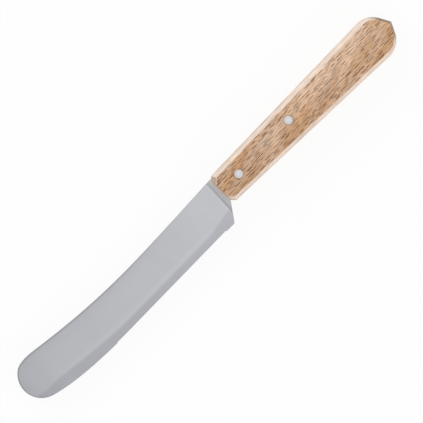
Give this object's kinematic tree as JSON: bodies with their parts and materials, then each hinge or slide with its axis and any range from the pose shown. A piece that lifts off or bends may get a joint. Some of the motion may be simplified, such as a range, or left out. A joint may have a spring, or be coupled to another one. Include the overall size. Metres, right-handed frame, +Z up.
{
  "type": "breakfast knife",
  "caption": "Round-tipped table knife for spreading and cutting: a broad steel blade with a micro-serrated edge, its tang riveted into a plain beech handle.",
  "frame": {"origin": "centre of the knife's box in X and Y, on the handle's lower flat face", "axes": "+X from the tip to the butt, +Y from the cutting edge to the spine, +Z up through the left face"},
  "size_m": [0.2198, 0.0246, 0.0105],
  "materials": {
    "blade_steel": "satin ground",
    "beech": "fine sanded, thin clear varnish",
    "rivet_aluminium": "sanded flush"
  },
  "bodies": {
    "root": {"blade": "blade_steel", "handle": "beech", "front_rivet": "rivet_aluminium", "rear_rivet": "rivet_aluminium"}
  },
  "joints": []
}
